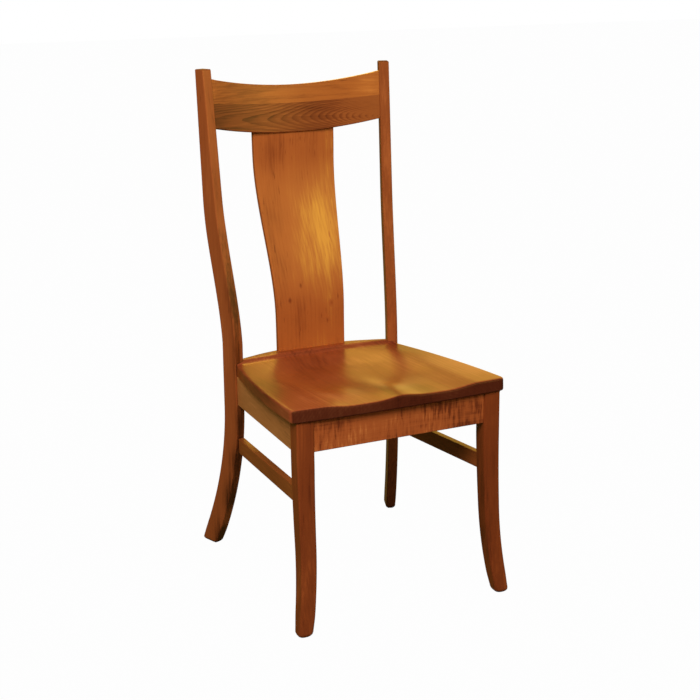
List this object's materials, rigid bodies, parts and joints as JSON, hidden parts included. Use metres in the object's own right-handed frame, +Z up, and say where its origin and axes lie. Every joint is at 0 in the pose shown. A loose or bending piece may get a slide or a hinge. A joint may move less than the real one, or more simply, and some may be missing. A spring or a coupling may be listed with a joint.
{
  "type": "side chair",
  "caption": "Wooden dining side chair with a saddle seat, a bent back splat, a scooped crest rail between curved back posts, flared front legs and side stretchers.",
  "frame": {"origin": "on the floor, at the centre of the chair's bounding box in plan", "axes": "+Z up from the floor; the chair faces -Y; +X to the right of someone who looks along +Y at its front"},
  "size_m": [0.4738, 0.5442, 1.029],
  "materials": {
    "frame_wood": "satin lacquer over a reddish brown hardwood",
    "figured_wood": "satin lacquer over a darker, figured piece of the same hardwood",
    "seat_wood": "glossier lacquer over a golden brown hardwood",
    "bare_wood": "bare pale hardwood",
    "screw_steel": "plated steel"
  },
  "bodies": {
    "root": {"left_back_post": "frame_wood", "right_back_post": "frame_wood", "left_front_leg": "frame_wood", "right_front_leg": "frame_wood", "front_rail": "figured_wood", "back_rail": "frame_wood", "left_side_rail": "frame_wood", "right_side_rail": "frame_wood", "left_stretcher": "frame_wood", "right_stretcher": "frame_wood", "crest_upper_board": "frame_wood", "crest_lower_board": "figured_wood", "crest_dowels": "bare_wood", "back_splat": "frame_wood", "seat_board_1": "seat_wood", "seat_board_2": "seat_wood", "seat_board_3": "seat_wood", "seat_board_4": "seat_wood", "seat_board_5": "seat_wood", "front_left_block": "bare_wood", "front_right_block": "bare_wood", "back_left_block": "bare_wood", "back_right_block": "bare_wood", "block_screws": "screw_steel", "seat_screws": "screw_steel"}
  },
  "joints": []
}
